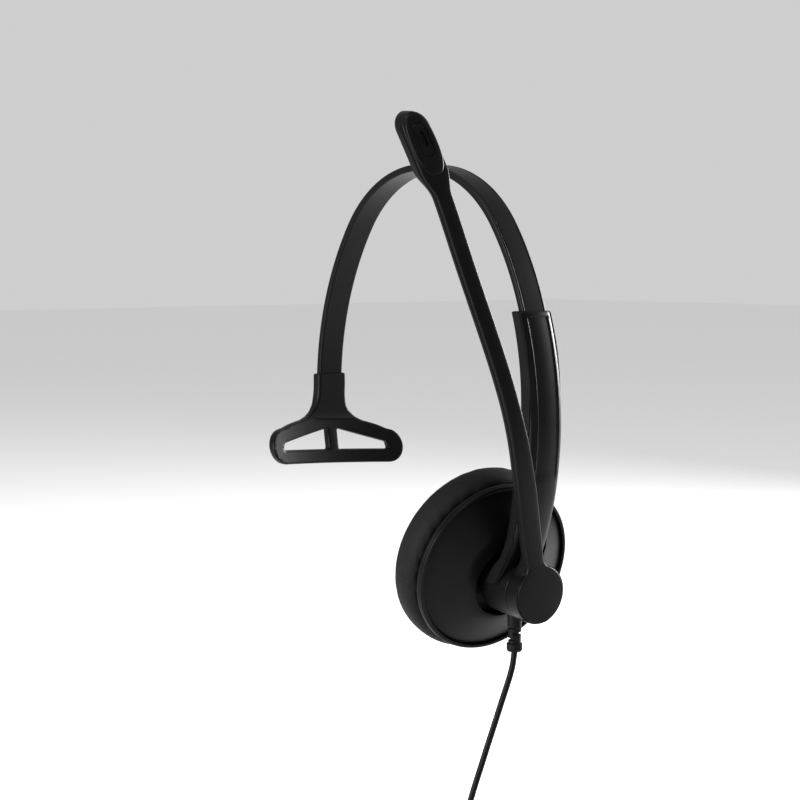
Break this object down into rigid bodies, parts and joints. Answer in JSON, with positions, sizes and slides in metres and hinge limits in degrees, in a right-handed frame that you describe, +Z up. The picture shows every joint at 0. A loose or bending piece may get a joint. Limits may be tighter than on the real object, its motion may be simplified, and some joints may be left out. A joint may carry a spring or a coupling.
{
  "type": "office headset",
  "caption": "Corded office headset worn over one ear: slim headband, sliding arm, temple rest, round ear cup, boom microphone that turns on a hub, and a coiled cord.",
  "frame": {"origin": "the middle of the head: under the top of the headband, level with the boom's pivot", "axes": "+Z up through the top of the headband, +X out through the ear cup, -Y towards the wearer's front"},
  "size_m": [0.1238, 0.0803, 0.3349],
  "materials": {
    "black_plastic": "satin, finely textured",
    "soft_black": "matte, slightly soft",
    "cushion_skin": "fine-grained imitation leather",
    "driver_cloth": "thin open weave",
    "driver_film": "thin glossy film",
    "spring_steel": "rolled strip",
    "bright_steel": "stamped and plated",
    "magnet_steel": "plated",
    "circuit_board": "coated board",
    "plug_insulator": "moulded"
  },
  "bodies": {
    "band": {"headband_sheath": "soft_black", "headband_spring": "spring_steel", "temple_rest": "black_plastic"},
    "arm": {"arm_housing": "black_plastic", "arm_cover": "black_plastic", "detent_spring": "spring_steel", "friction_washer": "bright_steel", "junction_board": "circuit_board", "ball_stud": "black_plastic", "strain_relief": "soft_black", "cord_run": "soft_black", "cord_coil": "soft_black", "cord_tail": "soft_black", "cord_tie": "soft_black", "plug_grip": "black_plastic", "plug_shell": "bright_steel", "plug_tongue": "plug_insulator"},
    "boom": {"boom_shell": "black_plastic", "boom_cover": "black_plastic", "mic_bezel": "black_plastic", "mic_mesh": "bright_steel", "mic_capsule": "bright_steel", "mic_lead": "soft_black", "pivot_cap": "black_plastic", "pivot_axle": "bright_steel", "retaining_clip": "bright_steel"},
    "liner": {"ball_liner": "soft_black"},
    "cup": {"cup_shell": "black_plastic", "cup_rim": "black_plastic", "speaker_baffle": "black_plastic", "speaker_basket": "black_plastic", "speaker_magnet": "magnet_steel", "speaker_membrane": "driver_film", "speaker_cloth": "driver_cloth", "ear_cushion": "cushion_skin", "baffle_screw_1": "bright_steel", "baffle_screw_2": "bright_steel", "baffle_screw_3": "bright_steel"}
  },
  "joints": [
    {"name": "extension", "type": "hinge", "parent": "band", "child": "arm", "pos_m": [-0.04718, 0, 0.06356], "axis": [0, 1, 0], "range_deg": [0, 18]},
    {"name": "boom_swing", "type": "hinge", "parent": "arm", "child": "boom", "pos_m": [0.0578, 0, 0], "axis": [0.9926, -0.0729, -0.0976], "range_deg": [-151, 119]},
    {"name": "cup_swivel", "type": "hinge", "parent": "arm", "child": "liner", "pos_m": [0.03348, 0.00179, 0.00239], "axis": [0.2722, -0.031, 0.9617], "range_deg": [-6, 6]},
    {"name": "cup_tilt", "type": "hinge", "parent": "liner", "child": "cup", "pos_m": [0.03348, 0.00179, 0.00239], "axis": [0.1132, 0.9936, 0], "range_deg": [-6, 6]}
  ]
}
